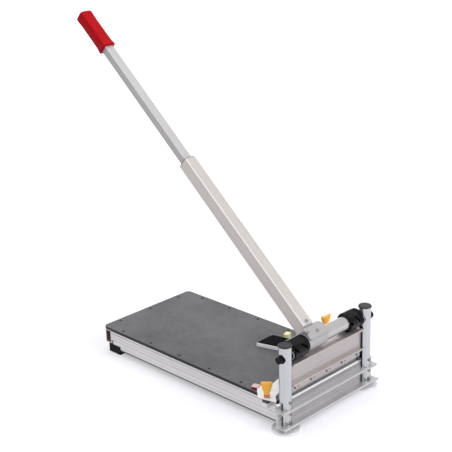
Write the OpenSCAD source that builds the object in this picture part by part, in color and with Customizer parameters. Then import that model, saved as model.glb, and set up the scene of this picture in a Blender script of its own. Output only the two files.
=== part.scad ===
// Bench cutter for laminate planks: two slotted posts guide a blade carriage, and a long
// lever with two eccentric drums presses it down. X runs along the blade, Y runs back over
// the table and Z is up. The origin is the centre of the left foot, on the floor.

/* [Posts] */
// Distance between the two post axes
post_spacing = 264; // [244:1:300]
// Outer diameter of a post tube
post_d = 27; // [26:0.5:29]
// Wall of a post tube
post_wall = 2.6; // [2:0.1:3]
// Height of the post caps above the floor
post_top = 196.4; // [194:0.2:215]
// Diameter of a post cap
cap_d = 30; // [29.5:0.5:34]
// Height of a cap's rim
cap_rim = 4; // [3:0.5:6]
// Diameter of a foot disc
foot_d = 61; // [50:1:70]
// Thickness of a foot disc
foot_t = 4; // [3:0.5:6]

/* [Base beam] */
// Reach of the base beam past the post axes
beam_over = 25; // [22:0.5:40]
// Height of the underside of the frame above the floor
frame_z = 11; // [9:0.5:13]
// Thickness of the beam's web, which is also the anvil
web_t = 6; // [5:0.5:6.5]
// Distance of the web's middle behind the post axes
web_y = 2; // [1.5:0.25:2]
// Height of the shelf's top face above the floor
shelf_z = 50; // [46:0.5:52]
// Reach of the shelf in front of the post axes
shelf_reach = 17; // [16:0.5:20]
// Thickness of the shelf's nose
shelf_t = 5; // [4:0.5:6]
// Reach of the beam's toe in front of the post axes
toe_reach = 22; // [19:0.5:26]

/* [Table] */
// Height of the table's top face above the floor
table_z = 64.6; // [63:0.2:68]
// Reach of the table past the post axes at either side
table_over = 9.7; // [6:0.1:16]
// Distance of the table's back edge behind the post axes
table_back = 579.4; // [520:0.2:640]
// Thickness of the table board
table_t = 6; // [5:0.5:7]
// Distance between neighbouring screws along a side of the table
screw_pitch = 97; // [80:1:100]
// Width of a side rail
rail_w = 18; // [17:0.5:19]
// Height of a rubber rear foot
pad_h = 20.5; // [18:0.5:24]

/* [Carriage] */
// Gap between the blade's edge and the anvil with the lever at rest
blade_gap = 9.6; // [9.6:0.1:10]
// Thickness of the blade
blade_t = 3; // [2:0.25:3]
// Height of the blade above its bevel
blade_h = 18; // [16:0.5:20]
// Reach of the carriage's flange in front of the post axes
flange_reach = 10; // [8:0.5:12]
// Thickness of the carriage's top flange
flange_t = 3; // [2.5:0.25:4]

/* [Lever] */
// Height of the lever's axle above the floor
axle_z = 167; // [166:0.5:172]
// Diameter of the axle's journals
journal_d = 16; // [14:0.5:17]
// Overall length of the axle over both journals
axle_l = 308; // [300:1:320]
// Eccentricity of the drums
cam_e = 12.1; // [11.9:0.1:12.3]
// Angle from the handle's direction to the drums' centre
cam_lead = 33.7; // [30:0.5:36]
// Diameter of a drum
cam_d = 44; // [43:0.2:44.6]
// Diameter of the tube between the drums
tube_d = 31.4; // [30:0.2:33]
// Angle that the handle leans back from upright at rest
lever_angle = 48.7; // [45:0.1:50]
// Width of the lower handle tube
lower_w = 29; // [28:0.5:30]
// Depth of the lower handle tube
lower_d = 33; // [32:0.5:36]
// Distance from the axle to the lower tube's open end
lower_end = 493; // [440:1:520]
// Width of the upper handle tube
upper_w = 23; // [20:0.5:23]
// Depth of the upper handle tube
upper_d = 20; // [18:0.5:22]
// Distance from the axle to the grip's lower end
grip_start = 833; // [790:1:850]
// Length of the grip
grip_l = 102; // [95:1:125]

/* [Fence] */
// Angle that the fence is turned at rest
fence_angle = 16.3; // [12:0.1:17]
// Width of the fence bar
bar_w = 28; // [24:1:28]
// Thickness of the fence bar
bar_t = 3.5; // [3:0.25:5]
// Reach of the stop's stud past the table's right edge
stop_over = 7.84; // [0:0.02:9]
// Length of the fence's arm behind the bar
arm_l = 117; // [90:1:120]
// Width of the fence's arm
arm_w = 50; // [44:1:54]

/* [Hidden] */
$fn = 64;

// Overrun of a cut past the face that it opens
over = 1;
// Small gap where a piece slides past another
slide_gap = 0.3;
// Radial clearance of a shaft or a shank in its bore
fit = 0.05;
// Edge break on turned and extruded pieces
edge = 0.8;

half = post_spacing / 2;
post_r = post_d / 2;
post_in = post_r - post_wall;
beam_half = half + beam_over;
web_front = web_y - web_t / 2;
web_back = web_y + web_t / 2;
table_half = half + table_over;
board_z = table_z - table_t;

// Outermost reach of whatever lies between the posts
bay_half = half - post_r - 1.3 * edge;
flange_half = bay_half - edge;

// Slot in the posts, with a liner in its front
liner_w = 3.2;
slot_front = web_front - slide_gap - liner_w;
slot_back = web_back + slide_gap;

// Turned drums and the height that they leave for the carriage
cam_r = cam_d / 2;
tube_r = tube_d / 2;
tube_wall = 2.5;
journal_r = journal_d / 2;
cam_angle = lever_angle + cam_lead;
cam_seat = 1;
carriage_z = axle_z + cam_e * cos(cam_angle) - cam_r - cam_seat;
lift = 9.4;

// Heights in the carriage
edge_z = table_z + blade_gap;
blade_back = web_front + blade_t;
holder_z = edge_z + 2 * blade_t;
blade_top = edge_z + blade_t + blade_h;
blade_screw_z = holder_z + blade_h / 3;
mid_shelf_t = 2.5;
mid_shelf_z = blade_top + 1.5 * mid_shelf_t;
tongue_z0 = mid_shelf_z;
tongue_z1 = carriage_z - flange_t - 1.3 * mid_shelf_t;
bushing_wall = 1.8;
bushing_r = journal_r + bushing_wall;
slot_top = min(tongue_z1 + lift + edge, axle_z - bushing_r - post_wall);
outer_slot_top = table_z + post_wall;

// Springs and their seats
seat_h = 5;
seat_z = table_z;
seat_r = post_in - slide_gap;
wire_r = 0.9;
coil_gap = 2.6;
coil_r = post_in - coil_gap - wire_r;
spring_z0 = seat_z + seat_h + wire_r + fit;
spring_z1 = tongue_z0 - wire_r - fit;
spring_turns = 7;
rings_per_turn = 8;
wire_sides = 6;

// Screws
screw_r = 3.6;
shank_r = 1.8;
head_h = 2;

// Post screws, as heights above the floor
post_screw_zs = [seat_z + 0.4 * seat_h, shelf_z - shelf_t - screw_r - slide_gap,
    (frame_z + shelf_z) / 3];

// Side rails
rear_w = 19.6;
rear_inset = 6.4;
rail_end = table_back - rear_inset - rear_w;
rail_gap = 2.5;
rail_start = post_r + rail_gap;
x_rail = table_half - rail_w;
rail_ledge = 24;
rail_step = 5;
rail_wall = 2.4;
groove_drop = 6.1;
groove_z = board_z - groove_drop;
groove_h = 2.4;
groove_depth = 2.4;
rear_h = 1.4 * rail_ledge;
bracket_t = 4;
side_screws = 5;
screw_inset = 10.4;
last_screw_back = 62;
last_screw_y = table_back - last_screw_back;
back_screw_x = 0.73 * half;

// Rubber feet at the rear
pad_l = 41;
pad_w = 17;
pad_inset = 3;
pad_back = 32;
pad_y = table_back - pad_back;

// Lever pieces, in a frame whose Z runs along the handle
handle_x = -40;
handle_back = -2;
cam_end = half - cap_d / 2 - slide_gap;
washer_t = cap_d / 2 + slide_gap - post_r - edge / 2 - 3 * fit;
washer_w = 3.5;
left_cam_in = -62;
right_cam_in = 74;
spacer_t = 2.5;
block_right = -2;
block_wall = 3.9;
block_r = tube_r + block_wall;
block_top = 36;
block_front = 17;
block_rear = 15;
tenon_l = 38;
lower_wall = 1.8;
upper_wall = 1.8;
plug_t = 6;
upper_in = 90;
bushing_l = 40;
collar_h = 3;
tube_corner = 2.2;
lock_inset = 14;
lock_z = lower_end - lock_inset;
handle_seat = 1.3;
handle_low = block_top + handle_seat;
bolt_rise = 8;
bolt_z = handle_low + bolt_rise;

// Fence pieces, in a frame whose X runs along the bar from its pivot
pivot_out = 6.3;
pivot_x = -table_half - pivot_out;
pivot_y = 38;
stop_x = (table_half + stop_over - pivot_x) / cos(fence_angle);
bar_z = table_z + slide_gap;
bar_top = bar_z + bar_t;
stud_r = 3;
stop_travel = 200;
arm_back = 97;
arm_x = stop_x - arm_back;
arm_t = 8;
pad_t = 2.6;
pad_rim = 2.4;
rib_n = 9;
stop_h = 39;
knob_stem = 12;
left_knob_h = 29;
right_knob_h = 20;
knob_r = 12.8;
sleeve_h = 6;

// Moves the origin from midway between the posts to the left foot
module from_middle() { translate([half, 0, 0]) children(); }

module at_left() { translate([-half, 0, 0]) children(); }

module at_right() { translate([half, 0, 0]) mirror([1, 0, 0]) children(); }

// Extrudes a Y-Z outline along X, from x0 to x1
module along_x(x0, x1) {
    translate([x0, 0, 0]) rotate([90, 0, 90]) linear_extrude(x1 - x0) children();
}

// Extrudes an X-Z outline along Y, from y0 to y1
module along_y(y0, y1) {
    translate([0, y1, 0]) rotate([90, 0, 0]) linear_extrude(y1 - y0) children();
}

// Rectangle between two corners
module span(x0, x1, y0, y1) { translate([x0, y0]) square([x1 - x0, y1 - y0]); }

// Box between two corners
module block(a, b) { translate(a) cube(b - a); }

// Round bar along X with broken edges
module bar_x(r, x0, x1, e = edge) {
    translate([x0, 0, 0]) rotate([0, 90, 0])
        rotate_extrude() polygon([[0, 0], [r - e, 0], [r, e], [r, x1 - x0 - e],
            [r - e, x1 - x0], [0, x1 - x0]]);
}

// Points of a rectangle with round corners
function round_rect(w, d, r, n = 5) = [for (q = [0:3], i = [0:n])
    let (a = 90 * q + 90 * i / n, sx = (q == 0 || q == 3) ? 1 : -1, sy = q < 2 ? 1 : -1)
    [sx * (w / 2 - r) + r * cos(a), sy * (d / 2 - r) + r * sin(a)]];

// The lever's frame at rest: Z along the handle, Y to its back face
module lever_frame() { translate([0, 0, axle_z]) rotate([-lever_angle, 0, 0]) children(); }

// The drums' centre in the lever's frame
module at_cam() { translate([0, cam_e * sin(cam_lead), cam_e * cos(cam_lead)]) children(); }

// The handle's axis in the lever's frame
module at_handle() { translate([handle_x, handle_back, 0]) children(); }

// The fence's frame at rest: X along the bar, Z up from the floor
module fence_frame() { translate([pivot_x, pivot_y, 0]) rotate([0, 0, fence_angle]) children(); }

module shelf_outline() {
    lip = shelf_t / 4;
    polygon([[web_front, shelf_z], [-shelf_reach + lip, shelf_z],
        [-shelf_reach, shelf_z - lip], [-shelf_reach, shelf_z - shelf_t],
        [-shelf_reach + shelf_t / 2, shelf_z - shelf_t],
        [-shelf_reach + shelf_t, shelf_z - 0.6 * shelf_t], [web_front, shelf_z - 0.6 * shelf_t]]);
}

module toe_outline() {
    toe_t = 3;
    lip_h = 5.4;
    polygon([[web_front, frame_z], [-toe_reach, frame_z], [-toe_reach, frame_z + lip_h - edge],
        [-toe_reach + edge, frame_z + lip_h], [-toe_reach + toe_t, frame_z + lip_h],
        [-toe_reach + toe_t, frame_z + toe_t], [web_front, frame_z + toe_t]]);
}

module web_outline() {
    line_d = 0.7;
    difference() {
        span(web_front, web_back, frame_z, table_z);
        for (share = [0.25, 0.5, 0.75])
            translate([web_front, frame_z + share * (shelf_z - frame_z)])
                square(2 * line_d, center = true);
    }
}

module base_beam() color("#b5aea8") from_middle() {
    ledge_t = 3;
    difference() {
        along_x(-beam_half, beam_half) {
            shelf_outline();
            toe_outline();
        }
        for (s = [-1, 1]) translate([s * half, 0, 0])
            cylinder(h = table_z, r = post_r + slide_gap);
    }
    difference() {
        along_x(-beam_half, beam_half) web_outline();
        for (s = [-1, 1]) translate([s * half, 0, 0]) post_screw_bores();
        bracket_screw_places() cylinder(h = 2 * bracket_t, r = shank_r + fit);
    }
    along_x(-bay_half, bay_half)
        span(web_back, web_back + 2 * ledge_t, board_z - ledge_t, board_z);
}

// Bores of one post's screws, through its front wall and a little into the web
module post_screw_bores()
    for (z = post_screw_zs) translate([0, over, z]) rotate([90, 0, 0])
        cylinder(h = post_r + 2 * over, r = shank_r + fit);

// Places of the bracket screws, with Z running into the web or the rail
module bracket_screw_places() {
    z_mid = (frame_z + shelf_z) / 2;
    for (s = [-1, 1], dz = [-2.2 * bracket_t, 2.2 * bracket_t]) {
        translate([s * (bay_half - 4 * bracket_t), web_back + bracket_t, z_mid + dz])
            rotate([90, 0, 0]) children();
        translate([s * (x_rail - bracket_t), rail_start + 5 * bracket_t, z_mid + dz])
            rotate([0, s * 90, 0]) children();
    }
}

module foot_disc() {
    spigot_h = frame_z - foot_t - edge;
    rotate_extrude() polygon([[0, 0], [foot_d / 2 - edge, 0], [foot_d / 2, edge],
        [foot_d / 2, foot_t - edge], [foot_d / 2 - edge, foot_t], [post_in - fit, foot_t],
        [post_in - fit, foot_t + spigot_h], [0, foot_t + spigot_h]]);
}

module left_foot_disc() color("#d9dce4") from_middle() at_left() foot_disc();

module right_foot_disc() color("#d9dce4") from_middle() at_right() foot_disc();

// A post with its inner side towards +X
module post_tube() {
    cap_z = post_top - cap_rim;
    difference() {
        cylinder(h = cap_z, r = post_r);
        translate([0, 0, -over]) cylinder(h = cap_z + 2 * over, r = post_in);
        block([-post_r, -post_r, -over], [post_r, post_r, foot_t]);
        block([0, slot_front, 0], [post_r + over, slot_back, slot_top]);
        block([-post_r - over, slot_front, 0], [0, slot_back, outer_slot_top]);
        translate([-post_r - over, 0, axle_z]) rotate([0, 90, 0])
            cylinder(h = post_d + 2 * over, r = bushing_r);
        post_screw_bores();
    }
}

module left_post() color("#d3d7da") from_middle() at_left() post_tube();

module right_post() color("#d3d7da") from_middle() at_right() post_tube();

module post_cap() {
    spigot_h = 7;
    crown = 1.2;
    translate([0, 0, post_top - cap_rim]) rotate_extrude() polygon([
        [0, -spigot_h], [post_in - fit, -spigot_h], [post_in - fit, 0], [cap_d / 2 - edge / 2, 0],
        [cap_d / 2, edge / 2], [cap_d / 2, cap_rim - 2 * crown],
        [cap_d / 2 - crown, cap_rim - crown / 2], [cap_d / 2 - 2 * crown, cap_rim], [0, cap_rim]]);
}

module left_post_cap() color("#3c3d42") from_middle() at_left() post_cap();

module right_post_cap() color("#3c3d42") from_middle() at_right() post_cap();

// Low-friction strip in the front of a post's inner slot
module slot_liner() {
    x1 = sqrt(post_r * post_r - slot_front * slot_front);
    block([post_in, slot_front, frame_z + rail_wall], [x1, web_front - slide_gap, slot_top]);
}

module left_slot_liner() color("#1c1c1e") from_middle() at_left() slot_liner();

module right_slot_liner() color("#1c1c1e") from_middle() at_right() slot_liner();

module spring_seat() difference() {
    translate([0, 0, seat_z]) cylinder(h = seat_h, r = seat_r);
    post_screw_bores();
}

module left_spring_seat() color("#8f9296") from_middle() at_left() spring_seat();

module right_spring_seat() color("#8f9296") from_middle() at_right() spring_seat();

spring_n = spring_turns * rings_per_turn;

// Middle of the spring's wire at ring i
function coil_point(i) = let (a = 360 * i / rings_per_turn)
    [coil_r * cos(a), coil_r * sin(a), spring_z0 + (spring_z1 - spring_z0) * i / spring_n];

// Ring i of the spring's tube, moved along the wire by a length
function spring_ring(i, along = 0) =
    let (a = 360 * i / rings_per_turn, c = coil_point(i))
    [for (j = [0:wire_sides - 1]) let (b = 360 * j / wire_sides, r = wire_r * cos(b))
        [c[0] + r * cos(a) - along * sin(a), c[1] + r * sin(a) + along * cos(a),
            c[2] + wire_r * sin(b)]];

module coil_spring() {
    n = spring_n + 2;
    s = wire_sides;
    points = concat(spring_ring(0, -2 * wire_r), [for (i = [0:spring_n]) each spring_ring(i)],
        spring_ring(spring_n, 2 * wire_r));
    sides = [for (i = [0:n - 1], j = [0:s - 1]) each [
        [i * s + j, (i + 1) * s + j, i * s + (j + 1) % s],
        [i * s + (j + 1) % s, (i + 1) * s + j, (i + 1) * s + (j + 1) % s]]];
    ends = [for (j = [1:s - 2]) each [[0, j, j + 1], [n * s, n * s + j + 1, n * s + j]]];
    polyhedron(points, concat(sides, ends));
}

// Least gap of the spring to itself, measured on the points of its wire
echo(spring_gap = min([for (i = [0:spring_n - 4], j = [i + 4:spring_n])
    norm(coil_point(i) - coil_point(j))]) - 2 * wire_r);

module left_return_spring() color("#a9abad") from_middle() at_left() coil_spring();

module right_return_spring() color("#a9abad") from_middle() at_right() coil_spring();

// Plain bearing through both walls of a post
module axle_bushing() {
    translate([0, 0, axle_z]) rotate([0, 90, 0]) difference() {
        translate([0, 0, -post_r]) cylinder(h = post_d + edge / 2, r = bushing_r);
        translate([0, 0, -post_r - over]) cylinder(h = post_d + 3 * over, r = journal_r + fit);
    }
}

module left_axle_bushing() color("#4a4a4c") from_middle() at_left() axle_bushing();

module right_axle_bushing() color("#4a4a4c") from_middle() at_right() axle_bushing();

module post_screws() color("#c9ccd0") from_middle()
    for (s = [-1, 1], i = [0:2]) translate([s * half, 0, post_screw_zs[i]]) {
        tip = i == 0 ? seat_r / 2 : web_front / 2;
        socket_r = 0.45 * screw_r;
        difference() {
            rotate([90, 0, 0]) translate([0, 0, post_r]) cylinder(h = head_h, r = screw_r);
            rotate([90, 0, 0]) translate([0, 0, post_r + head_h / 2])
                cylinder(h = head_h, r = socket_r, $fn = 6);
        }
        rotate([90, 0, 0]) translate([0, 0, tip]) cylinder(h = post_r - tip, r = shank_r);
    }

// Section of a side rail, with U from its outer face inwards
module rail_outline() {
    ledge_z = board_z - rail_ledge;
    difference() {
        union() {
            span(0, rail_w, ledge_z, board_z);
            span(rail_step, rail_w, frame_z, ledge_z);
        }
        span(groove_depth + rail_wall, rail_w - rail_wall, ledge_z + rail_wall, board_z - rail_wall);
        span(rail_step + rail_wall, rail_w - rail_wall, frame_z + rail_wall, ledge_z);
        span(-over, groove_depth, groove_z - groove_h / 2, groove_z + groove_h / 2);
        for (share = [0.45, 0.62, 0.79])
            translate([0, board_z - share * rail_ledge]) square(edge, center = true);
    }
}

// Space that a rubber foot takes at a rear corner
module foot_pocket() {
    block([x_rail - over, pad_y - pad_l / 2, 0],
        [table_half + over, pad_y + pad_l / 2, pad_h]);
}

module side_screw_places() {
    for (i = [0:side_screws - 1])
        translate([table_half - screw_inset, last_screw_y - i * screw_pitch, 0]) children();
}

module side_rail() {
    difference() {
        translate([table_half, 0, 0]) mirror([1, 0, 0]) along_y(rail_start, rail_end) rail_outline();
        foot_pocket();
        side_screw_places() top_wall_bore();
        bracket_screw_places() cylinder(h = 2 * bracket_t, r = shank_r + fit);
    }
}

// Bore for a table screw through the top wall of a rail
module top_wall_bore()
    translate([0, 0, board_z - 2 * rail_wall]) cylinder(h = 3 * rail_wall, r = shank_r + fit);

module left_rail() color("#c9c6c4") from_middle() mirror([1, 0, 0]) side_rail();

module right_rail() color("#c9c6c4") from_middle() side_rail();

module rear_rail() color("#c4c1bf") from_middle() {
    y1 = rail_end + rear_w;
    difference() {
        along_x(-table_half, table_half) difference() {
            span(rail_end, y1, board_z - rear_h, board_z);
            span(rail_end + rail_wall, y1 - rail_wall, board_z - rear_h + rail_wall,
                board_z - rail_wall);
        }
        for (i = [-1:1]) translate([i * back_screw_x, table_back - screw_inset, 0])
            top_wall_bore();
    }
}

// Angle bracket that ties a side rail to the web, for the right corner
module corner_bracket() {
    t = bracket_t;
    reach = 36;
    margin = 5;
    translate([0, 0, frame_z + margin]) linear_extrude(shelf_z - frame_z - margin) polygon([
        [bay_half - reach, web_back], [bay_half, web_back], [bay_half, rail_start],
        [x_rail, rail_start], [x_rail, rail_start + reach], [x_rail - t, rail_start + reach],
        [x_rail - t, rail_start + t], [bay_half - t, rail_start + t], [bay_half - t, web_back + t],
        [bay_half - reach, web_back + t]]);
}

module corner_brackets() color("#a8a6a4") from_middle() difference() {
    union() {
        corner_bracket();
        mirror([1, 0, 0]) corner_bracket();
    }
    bracket_screw_places() translate([0, 0, -over])
        cylinder(h = 2 * bracket_t, r = shank_r + fit);
}

// Pan-head screws on the brackets' inner faces
module bracket_screws() color("#c9ccd0") from_middle() bracket_screw_places() {
    translate([0, 0, -head_h]) cylinder(h = head_h, r = screw_r);
    cylinder(h = bracket_t + rail_wall, r = shank_r);
}

module board_outline() {
    corner_r = 10;
    y0 = web_back + slide_gap;
    notch_y = rail_start - edge;
    corner_n = 8;
    corner = [for (i = [0:corner_n]) let (a = 90 * i / corner_n)
        [table_half - corner_r + corner_r * cos(a), table_back - corner_r + corner_r * sin(a)]];
    right = concat([[bay_half, y0], [bay_half, notch_y], [table_half, notch_y]], corner);
    left = [for (i = [len(right) - 1:-1:0]) [-right[i][0], right[i][1]]];
    polygon(concat(right, left));
}

module board_screw_places() {
    for (s = [-1, 1]) scale([s, 1, 1]) side_screw_places() children();
    for (i = [-1:1]) translate([i * back_screw_x, table_back - screw_inset, 0]) children();
}

module table_board() color("#6f6f70") from_middle() difference() {
    translate([0, 0, board_z]) linear_extrude(table_t) board_outline();
    board_screw_places() {
        cylinder(h = table_z + over, r = shank_r + 2 * fit);
        translate([0, 0, table_z - head_h]) cylinder(h = head_h + over, r = screw_r + slide_gap);
    }
}

module table_screws() color("#26262a") from_middle() board_screw_places() {
    socket_r = 0.45 * screw_r;
    difference() {
        translate([0, 0, table_z - head_h]) cylinder(h = head_h, r = screw_r);
        translate([0, 0, table_z - head_h / 2]) cylinder(h = head_h, r = socket_r, $fn = 6);
    }
    translate([0, 0, board_z - rail_wall]) cylinder(h = table_t + rail_wall - head_h, r = shank_r);
}

// Rubber foot under a rear corner, ribbed on its outer face
module rear_foot() {
    ribs = 4;
    x1 = table_half - pad_inset - edge;
    rib_p = pad_l / ribs;
    difference() {
        block([x1 - pad_w + edge, pad_y - pad_l / 2 + edge, 0],
            [x1, pad_y + pad_l / 2 - edge, pad_h]);
        for (i = [1:ribs - 1]) translate([x1, pad_y - pad_l / 2 + i * rib_p, -over])
            cylinder(h = pad_h - edge, r = edge, $fn = 24);
    }
}

module rear_left_foot() color("#1f1f21") from_middle() mirror([1, 0, 0]) rear_foot();

module rear_right_foot() color("#1f1f21") from_middle() rear_foot();

// Carriage section between the posts: top flange, web, middle shelf and blade holder
module carriage_outline() {
    nose = flange_t / 2;
    polygon([[-flange_reach + nose, carriage_z], [-flange_reach, carriage_z - nose],
        [-flange_reach, carriage_z - flange_t], [web_front, carriage_z - flange_t],
        [web_front, mid_shelf_z], [-flange_reach + nose, mid_shelf_z],
        [-flange_reach, mid_shelf_z - nose], [-flange_reach, mid_shelf_z - mid_shelf_t],
        [web_front, mid_shelf_z - mid_shelf_t], [web_front, blade_top], [blade_back, blade_top],
        [blade_back, holder_z], [web_back, holder_z], [web_back, carriage_z - flange_t],
        [cam_r - 2 * nose, carriage_z - flange_t], [cam_r - 2 * nose, carriage_z]]);
}

// Places of the blade's screws, with Z running back through blade and holder
blade_screw_p = 0.44 * bay_half;

module blade_screw_places()
    for (i = [-2:2]) translate([i * blade_screw_p, web_front, blade_screw_z])
        rotate([-90, 0, 0]) children();

module blade_screw_bores()
    blade_screw_places() translate([0, 0, -over])
        cylinder(h = web_t + 2 * over, r = shank_r + fit);

module blade_beam() color("#bdb5b0") from_middle() {
    groove_d = 0.7;
    tongue_x = half + coil_r + wire_r;
    difference() {
        along_x(-flange_half, flange_half) difference() {
            carriage_outline();
            for (share = [0.3, 0.7])
                translate([web_front, mid_shelf_z + share * (carriage_z - mid_shelf_z)])
                    square(2 * groove_d, center = true);
        }
        blade_screw_bores();
    }
    along_x(-tongue_x, tongue_x) span(web_front, web_back, tongue_z0, tongue_z1);
}

module blade() color("#9c9da0") from_middle() difference() {
    blade_x = flange_half - edge;
    along_x(-blade_x, blade_x) polygon([[web_front, blade_top],
        [web_front, edge_z + 2 * blade_t], [blade_back, edge_z], [blade_back, blade_top]]);
    blade_screw_bores();
}

// Cap screws through blade and holder, with a small set screw beside four of them
module blade_screws() color("#77747a") from_middle() {
    cap_r = 2.8;
    cap_h = 1.2;
    set_dx = 11;
    blade_screw_places() {
        difference() {
            translate([0, 0, -cap_h]) cylinder(h = cap_h, r = cap_r);
            translate([0, 0, -2 * cap_h]) cylinder(h = 1.6 * cap_h, r = cap_r / 2, $fn = 6);
        }
        cylinder(h = web_t, r = shank_r);
    }
    for (i = [-2:1]) translate([i * blade_screw_p + set_dx, web_front, blade_screw_z])
        rotate([90, 0, 0]) cylinder(h = cap_h / 2, r = cap_r / 2);
}

// Drum, journal and spigot in one piece, with the post at -X and the tube at +X. Two
// screw holes lie in the drum's front
module cam(x_in) {
    collar = 7;
    groove = 1.6;
    spigot_l = 11;
    chamfer = 3;
    hole_r = 3.2;
    hole_depth = 5;
    hole_rise = 18;
    drum_l = x_in + cam_end;
    bar_x(journal_r, -axle_l / 2, -cam_end + edge);
    difference() {
        at_cam() translate([-cam_end, 0, 0]) rotate([0, 90, 0]) rotate_extrude() polygon([
            [0, 0], [cam_r - groove, 0], [cam_r - groove / 2, groove / 2],
            [cam_r - groove / 2, collar - groove], [cam_r - 2 * groove, collar],
            [cam_r - 2 * groove, collar + groove], [cam_r, collar + 2 * groove],
            [cam_r, drum_l - chamfer], [cam_r - chamfer, drum_l],
            [tube_r - tube_wall - fit, drum_l],
            [tube_r - tube_wall - fit, drum_l + spigot_l], [0, drum_l + spigot_l]]);
        for (share = [0.3, 0.74]) at_cam() translate([-cam_end + share * drum_l, 0, 0])
            rotate([90 - hole_rise + lever_angle, 0, 0]) translate([0, 0, cam_r - hole_depth])
                cylinder(h = hole_depth + over, r = hole_r);
    }
}

module left_cam() color("#17171a") from_middle() lever_frame() cam(left_cam_in);

module right_cam() color("#17171a") from_middle() lever_frame() mirror([1, 0, 0]) cam(-right_cam_in);

module thrust_washers() color("#b9bcc0") from_middle() lever_frame()
    for (s = [0, 1]) mirror([s, 0, 0]) translate([-cam_end - washer_t, 0, 0]) rotate([0, 90, 0])
        difference() {
            cylinder(h = washer_t, r = journal_r + washer_w);
            translate([0, 0, -over]) cylinder(h = washer_t + 2 * over, r = journal_r + fit);
        }

module cam_tube() color("#cfcccc") from_middle() lever_frame() at_cam()
    translate([left_cam_in, 0, 0]) rotate([0, 90, 0]) difference() {
        cylinder(h = right_cam_in - left_cam_in, r = tube_r);
        translate([0, 0, -over])
            cylinder(h = right_cam_in - left_cam_in + 2 * over, r = tube_r - tube_wall);
    }

module cam_spacer() color("#8d8f92") from_middle() lever_frame() at_cam()
    translate([left_cam_in, 0, 0]) rotate([0, 90, 0]) difference() {
        cylinder(h = spacer_t, r = block_r + edge);
        translate([0, 0, -over]) cylinder(h = spacer_t + 2 * over, r = tube_r + fit);
    }

// Clamp screws: shares of the handle's width and of the block's height
clamp_shares = [[-0.54, 0.6], [0.42, 0.47]];

// Place of clamp screw i on the block's front, with Z running back to the tube
module at_clamp_screw(i)
    translate([handle_x + clamp_shares[i][0] * lower_w, -block_front, clamp_shares[i][1] * block_top])
        rotate([-90, 0, 0]) children();

// Depth at which the tip of clamp screw i meets the tube
function clamp_reach(i) =
    let (rise = clamp_shares[i][1] * block_top - shank_r - cam_e * cos(cam_lead))
    block_front + cam_e * sin(cam_lead) - sqrt(pow(tube_r, 2) - pow(rise, 2)) - fit;

// Block round the tube, with a tenon that fills the foot of the handle
module clamp_block() color("#c3c2c4") from_middle() lever_frame() {
    left = left_cam_in + spacer_t;
    tenon_w = lower_w - 2 * lower_wall - 2 * fit;
    tenon_d = lower_d - 2 * lower_wall - 2 * fit;
    base_z = 4;
    corner = 3;
    shoulder = 9;
    difference() {
        union() {
            at_cam() translate([left, 0, 0]) rotate([0, 90, 0])
                cylinder(h = block_right - left, r = block_r);
            intersection() {
                along_x(left, block_right) polygon([[-block_front, base_z],
                    [-block_front, block_top - corner], [-block_front + corner, block_top],
                    [block_rear - corner, block_top], [block_rear, block_top - corner],
                    [block_rear, base_z]]);
                along_y(-block_front, block_rear) polygon([[left, base_z], [block_right, base_z],
                    [block_right, block_top - shoulder], [block_right - shoulder, block_top],
                    [left + corner, block_top], [left, block_top - corner]]);
            }
            at_handle() translate([0, 0, block_top - over]) {
                linear_extrude(handle_low - block_top + over)
                    square([lower_w, 2 * (block_front + handle_back) - corner], center = true);
                linear_extrude(tenon_l + over) square([tenon_w, tenon_d], center = true);
            }
        }
        at_cam() translate([left - over, 0, 0]) rotate([0, 90, 0])
            cylinder(h = block_right - left + 2 * over, r = tube_r + fit);
        for (i = [0, 1]) at_clamp_screw(i) translate([0, 0, -over])
            cylinder(h = block_front + over, r = shank_r + fit);
        at_handle() translate([0, 0, bolt_z]) rotate([90, 0, 0])
            cylinder(h = lower_d, r = shank_r + fit);
    }
}

module clamp_screws() color("#9a9da2") from_middle() lever_frame()
    for (i = [0, 1]) at_clamp_screw(i) {
    socket_r = 0.45 * screw_r;
    difference() {
        translate([0, 0, -head_h]) cylinder(h = head_h, r = screw_r);
        translate([0, 0, -2 * head_h]) cylinder(h = 1.6 * head_h, r = socket_r, $fn = 6);
    }
    cylinder(h = clamp_reach(i), r = shank_r);
}

// Wall of a rectangular tube with round corners
module box_tube(w, d, wall, z0, z1) {
    translate([0, 0, z0]) linear_extrude(z1 - z0) difference() {
        polygon(round_rect(w, d, tube_corner));
        square([w - 2 * wall, d - 2 * wall], center = true);
    }
}

module lower_handle() color("#c6c2c1") from_middle() lever_frame() at_handle() difference() {
    box_tube(lower_w, lower_d, lower_wall, handle_low, lower_end);
    translate([0, 0, bolt_z]) rotate([90, 0, 0]) cylinder(h = lower_d, r = shank_r + fit);
    translate([0, 0, lock_z]) rotate([0, 90, 0]) cylinder(h = lower_w, r = stud_r + fit);
}

module handle_bolt() color("#6d6f73") from_middle() lever_frame() at_handle()
    translate([0, -lower_d / 2, bolt_z]) rotate([90, 0, 0]) {
        socket_r = 0.45 * screw_r;
        difference() {
            cylinder(h = head_h, r = screw_r);
            translate([0, 0, head_h / 2]) cylinder(h = head_h, r = socket_r, $fn = 6);
        }
        translate([0, 0, -5 * head_h]) cylinder(h = 5 * head_h, r = shank_r);
    }

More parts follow.
